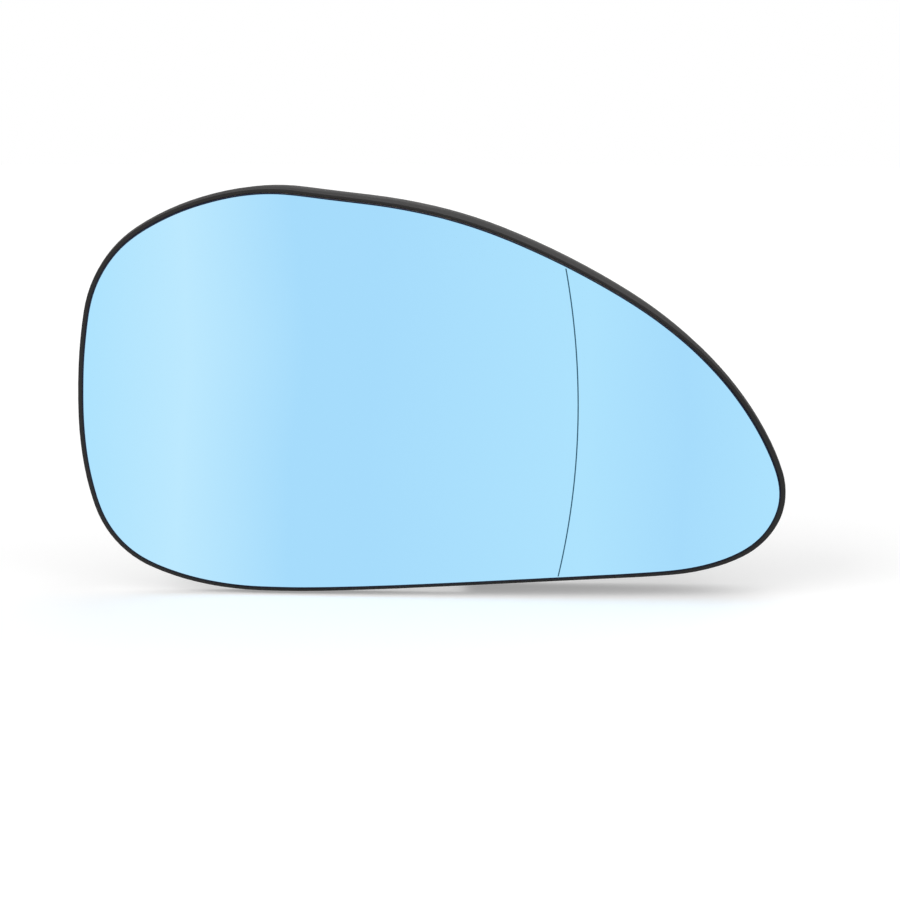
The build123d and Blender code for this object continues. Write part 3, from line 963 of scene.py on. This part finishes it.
@dataclass
class HeaterTracks:
    """Printed silver tracks of the heater where the terminal window shows them.

    Attributes:
        shop: The workshop.
        curve: The glass's curvature.
        behind: Distance of the ink behind the glass's front.
        pads: Middle, half length, half width and corner radius of each contact pad.
        bands: Middle line of each band, as (x, z) points in millimetres.
        band_half: Half width of a band.
        band_steps: Points along a band between two of its midpoints.
        pad_steps: Points round a pad.
        pad_turn: Small turn that keeps a pad's points off the axes, where a sign would be 0.
        pad_shares: Rings of a pad, as shares of its rim.
    """

    shop: Workshop
    curve: CurvedPlate
    behind: float = 2.42 * MM
    pads: tuple[tuple[tuple[float, float], float, float, float], ...] = (
        ((-60.0, -2.2), 8.0, 5.0, 3.2), ((-61.2, 9.9), 8.2, 4.6, 3.0))
    bands: tuple[tuple[tuple[float, float], ...], ...] = (
        ((-45.6, -6.2), (-48.2, -5.0), (-49.9, -2.0), (-49.9, 2.8), (-50.8, 6.4), (-53.6, 8.2)),
        ((-45.6, 10.2), (-48.0, 11.4), (-48.9, 14.0), (-48.9, 18.0), (-48.9, 22.4)),
        ((-69.0, 16.9), (-62.0, 17.1), (-56.0, 17.0), (-52.6, 18.6), (-51.8, 22.4)))
    band_half: float = 1.05 * MM
    band_steps: int = 12
    pad_steps: int = 96
    pad_turn: float = 1e-4
    pad_shares: tuple[float, ...] = (1.0, 0.6, 0.25, 0.0)

    def build(self) -> None:
        """Lays the pads and the bands on the film."""
        for number, (middle, half_length, half_width, corner) in enumerate(self.pads, 1):
            self._pad(f"heater_pad_{number}", middle, half_length, half_width, corner)
        for number, points in enumerate(self.bands, 1):
            self._band(f"heater_band_{number}", np.array(points) * MM)

    def _lay(self, name: str, flat: np.ndarray, closed: bool) -> None:
        """Makes a thin shape on the film.

        Args:
            name: The object's name.
            flat: Grid of x and z pairs in metres.
            closed: Whether each row closes on itself.
        """
        y = self.curve.depth(flat[..., 0], flat[..., 1], self.behind)
        piece = self.shop.grid(name, np.stack([flat[..., 0], y, flat[..., 1]], axis=-1), closed)
        self.shop.tidy(piece)
        if piece.data.polygons[0].normal.y < 0:
            piece.data.flip_normals()
        self.shop.shade(piece, Shading.SMOOTH)
        self.shop.mount(piece, "heater_film", ["ink"], replace=False)

    def _pad(self, name: str, middle: tuple[float, float], half_length: float, half_width: float,
             corner: float) -> None:
        """Rounded rectangle: a circle's points pushed out to the corner centres, in rings to its middle.

        Args:
            name: The object's name.
            middle: Its middle, as x and z in millimetres.
            half_length: Half its length.
            half_width: Half its width.
            corner: Radius of its corners.
        """
        turn = np.linspace(0, 2 * math.pi, self.pad_steps, endpoint=False) + self.pad_turn
        way = np.stack([np.cos(turn), np.sin(turn)], axis=1)
        rim = way * corner + np.sign(way) * (np.array([half_length, half_width]) - corner)
        rings = np.array(middle) + rim[None] * np.array(self.pad_shares)[:, None, None]
        self._lay(name, rings * MM, closed=True)

    def _band(self, name: str, points: np.ndarray) -> None:
        """Strip of even width: a quadratic B-spline through the points' midpoints, moved to either side.

        Args:
            name: The object's name.
            points: Its middle line in metres.
        """
        closed = np.concatenate([points[:1] * 2 - points[1:2], points, points[-1:] * 2 - points[-2:-1]])
        share = np.linspace(0, 1, self.band_steps, endpoint=False)[:, None]
        runs = []
        for before, here, after in zip(closed, closed[1:], closed[2:]):
            start, end = (before + here) / 2, (here + after) / 2
            runs.append((1 - share) ** 2 * start + 2 * share * (1 - share) * here + share ** 2 * end)
        line = np.concatenate(runs)
        along = np.gradient(line, axis=0)
        along /= np.linalg.norm(along, axis=1, keepdims=True)
        side = np.stack([-along[:, 1], along[:, 0]], axis=1) * self.band_half
        self._lay(name, np.stack([line - side, line + side]), closed=False)


@dataclass
class Fittings:
    """Carrier, ring, spring, arm, terminals and rivets, with their moulded or worked edges.

    Attributes:
        shop: The workshop.
        outline: The glass's outline.
        tray_slack: How far a face of the tray may lie off the plate's back.
        foot_top: Height of a terminal's foot over its lowest point.
        beyond: How far inside the glass's outline the skirt's faces may start.
        moulded_edge: Rounding of the carrier's edges.
        worked_edge: Rounding of the ring's and the arm's edges.
        pressed_edge: Rounding of the terminals' and rivets' edges.
    """

    shop: Workshop
    outline: Outline
    tray_slack: float = 0.1 * MM
    foot_top: float = 0.9 * MM
    beyond: float = 1.0 * MM
    moulded_edge: float = 0.28 * MM
    worked_edge: float = 0.3 * MM
    pressed_edge: float = 0.12 * MM

    def build(self) -> None:
        """Dresses each node."""
        # The carrier's and the arm's rounded edges take lighter materials: a painted highlight.
        self.shop.softened("carrier", ["moulding", "skirt", "tray"], self.moulded_edge, "carrier_moulding",
                           self._carrier_regions, "worn_edge")
        self.shop.softened("clip_ring", ["nylon"], self.worked_edge, "nylon_clip_ring")
        self.shop.softened("stay_arm", ["arm"], self.worked_edge, "steel_stay_arm", edge="arm_edge")
        for side in ("lower", "upper"):
            self.shop.softened(f"terminal_{side}", ["tinned", "cut_edge"], self.pressed_edge,
                               f"tab_terminal_{side}", self._tab_regions)
            self.shop.softened(f"rivet_{side}", ["eyelet"], self.pressed_edge, f"eyelet_rivet_{side}")
        # The heater film's material carries a painted blue reflection.
        for node, finish in (("ring_spring", "wire"), ("bonding_sheet", "amber"), ("heater_film", "film")):
            piece = self.shop.nodes[node]
            piece.data.materials.clear()
            piece.data.materials.append(self.shop.palette[finish])

    def _carrier_regions(self, normals: np.ndarray, middles: np.ndarray) -> np.ndarray:
        """Textured skirt where a face lies beyond the glass and looks outwards, smooth tray with a painted blue
        reflection on the back.

        Args:
            normals: Directions of the faces.
            middles: Middles of the faces.

        Returns:
            Material number of each face.
        """
        away = middles[:, [0, 2]] - self.outline.centre
        reach = np.linalg.norm(away, axis=1)
        outwards = (normals[:, [0, 2]] * away).sum(axis=1) / reach
        beyond = reach > self.outline.radius(np.arctan2(away[:, 1], away[:, 0])) - self.beyond
        skirt = beyond & ((outwards > 0.3) | (normals[:, 1] < -0.5))
        # Tray faces take the material with the painted blue reflection.
        tray = (normals[:, 1] > 0.95) & (np.abs(middles[:, 1]) < self.tray_slack)
        LOG.info("carrier: %d skirt faces, %d tray faces of %d", skirt.sum(), tray.sum(), len(normals))
        return np.where(skirt, 1, np.where(tray, 2, 0)).astype(np.int32)

    def _tab_regions(self, normals: np.ndarray, middles: np.ndarray) -> np.ndarray:
        """Bare brass on the cut edges: faces that look along the sheet, in the foot or in the blade.

        Args:
            normals: Directions of the faces.
            middles: Middles of the faces.

        Returns:
            Material number of each face.
        """
        foot = middles[:, 1] < middles[:, 1].min() + self.foot_top
        cut = np.where(foot, np.abs(normals[:, 1]) < 0.5, np.abs(normals[:, 0]) < 0.5)
        return cut.astype(np.int32)


@dataclass
class Studio:
    """Floor, world, lamps and camera.

    Attributes:
        eye: The camera's place.
        look: The camera's direction.
        up: The camera's upward direction.
        lens: Focal length in millimetres for a 36 mm sensor.
        floor_radius: Radius of the floor in metres.
        floor_grey: Grey of the floor under the lamps.
        floor_lift: White that the floor adds for the camera.
        sky_light: Strength of the world's light on what isn't a mirror.
        sun_spread: Angle that each sun covers.
    """

    eye: tuple[float, float, float] = (23.9 * MM, -491.4 * MM, 73.1 * MM)
    look: tuple[float, float, float] = (-0.0274, 0.9852, -0.169)
    up: tuple[float, float, float] = (-0.0082, 0.1688, 0.9856)
    lens: float = 79.17
    floor_radius: float = 4.0
    floor_grey: float = 0.8
    floor_lift: float = 0.3
    sky_light: float = 0.55
    sun_spread: float = math.radians(50)

    def build(self, floor_z: float) -> None:
        """Builds everything that isn't the object.

        Args:
            floor_z: Height of the floor.
        """
        self._floor(floor_z)
        self._world()
        self._lamps()
        self._camera()

    def _floor(self, floor_z: float) -> None:
        """Round floor that shows white to the camera and in reflections, and keeps the shadow.

        Args:
            floor_z: Height of the floor.
        """
        bpy.ops.mesh.primitive_circle_add(vertices=96, radius=self.floor_radius, fill_type="NGON",
                                          location=(0, 0, floor_z))
        floor = bpy.context.object
        floor.name = "studio_floor"
        made = bpy.data.materials.new("studio_floor_white")
        made.use_nodes = True
        graph = Graph(made.node_tree)
        made.node_tree.nodes.clear()
        grey = (self.floor_grey, self.floor_grey, self.floor_grey, 1.0)
        diffuse = graph.add("ShaderNodeBsdfDiffuse", in_Color=grey)
        path = graph.add("ShaderNodeLightPath")
        white = graph.add("ShaderNodeEmission", in_Color=(1, 1, 1, 1), in_Strength=1.0)
        lift = graph.add("ShaderNodeMath", operation="MULTIPLY", in_0=path.outputs["Is Camera Ray"],
                         in_1=self.floor_lift)
        glow = graph.add("ShaderNodeEmission", in_Color=(1, 1, 1, 1), in_Strength=lift.outputs[0])
        lifted = graph.add("ShaderNodeAddShader")
        graph.feed(lifted, "0", diffuse.outputs[0])
        graph.feed(lifted, "1", glow.outputs[0])
        seen = graph.add("ShaderNodeMath", operation="MAXIMUM", in_0=path.outputs["Is Glossy Ray"],
                         in_1=path.outputs["Is Transmission Ray"])
        mix = graph.add("ShaderNodeMixShader", in_Fac=seen.outputs[0])
        graph.feed(mix, "1", lifted.outputs[0])
        graph.feed(mix, "2", white.outputs[0])
        graph.add("ShaderNodeOutputMaterial", in_Surface=mix.outputs[0])
        floor.data.materials.append(made)
        floor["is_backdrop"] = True

    def _world(self) -> None:
        """White to the camera and in reflections, and a soft grey light on everything else."""
        world = bpy.data.worlds.new("studio_world")
        bpy.context.scene.world = world
        world.use_nodes = True
        world.node_tree.nodes.clear()
        graph = Graph(world.node_tree)
        path = graph.add("ShaderNodeLightPath")
        seen = graph.add("ShaderNodeMath", operation="MAXIMUM", in_0=path.outputs["Is Camera Ray"],
                         in_1=path.outputs["Is Transmission Ray"])
        mirrored = graph.add("ShaderNodeMath", operation="MAXIMUM", in_0=seen.outputs[0],
                             in_1=path.outputs["Is Glossy Ray"])
        strength = graph.add("ShaderNodeMapRange", in_Value=mirrored.outputs[0])
        strength.inputs["To Min"].default_value = self.sky_light
        strength.inputs["To Max"].default_value = 1.0
        light = graph.add("ShaderNodeBackground", in_Color=(1, 1, 1, 1), in_Strength=strength.outputs["Result"])
        graph.add("ShaderNodeOutputWorld", in_Surface=light.outputs[0])

    def _lamps(self) -> None:
        """Three very soft suns: one in front to the left, one in front to the right, one behind."""
        places = {"key_sun": ((-1.2, -0.8, 0.7), 1.4), "fill_sun": ((1.1, -0.6, 0.7), 0.5),
                  "rear_sun": ((0.5, 0.9, 1.5), 0.55)}
        for name, (place, power) in places.items():
            data = bpy.data.lights.new(name, "SUN")
            data.energy = power
            data.angle = self.sun_spread
            lamp = bpy.data.objects.new(name, data)
            lamp.location = place
            back = np.array(place) / np.linalg.norm(place)
            side = np.cross((0, 0, 1.0), back)
            side /= np.linalg.norm(side)
            lamp.rotation_euler = _turn(side, np.cross(back, side), back)
            bpy.context.collection.objects.link(lamp)

    def _camera(self) -> None:
        """Camera at the photograph's viewing angle."""
        data = bpy.data.cameras.new("camera")
        data.lens = self.lens
        data.sensor_width = 36.0
        data.clip_start = 0.01
        camera = bpy.data.objects.new("camera", data)
        back = -np.array(self.look)
        over = np.array(self.up)
        camera.location = self.eye
        camera.rotation_euler = _turn(np.cross(over, back), over, back)
        bpy.context.collection.objects.link(camera)
        bpy.context.scene.camera = camera


def _turn(side: np.ndarray, over: np.ndarray, back: np.ndarray) -> Euler:
    """Euler angles of an object whose axes are given.

    Args:
        side: Direction of its x axis.
        over: Direction of its y axis.
        back: Direction of its z axis.

    Returns:
        The angles.
    """
    return Matrix(np.stack([side, over, back], axis=1).tolist()).to_euler()


def main() -> None:
    """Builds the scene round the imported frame."""
    logging.basicConfig(level=logging.INFO, format="%(name)s %(message)s")
    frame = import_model()
    cad_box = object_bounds()
    bpy.context.scene.view_settings.view_transform = "Standard"
    shop = Workshop(frame, Palette())
    curve = CurvedPlate()
    outline = Outline(shop.nodes["mirror_glass"])
    MirrorPlate(shop, curve, outline).build()
    HeaterTracks(shop, curve).build()
    Fittings(shop, outline).build()
    Studio().build(float(cad_box[0][2]))
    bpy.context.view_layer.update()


if __name__ == "__main__":
    main()
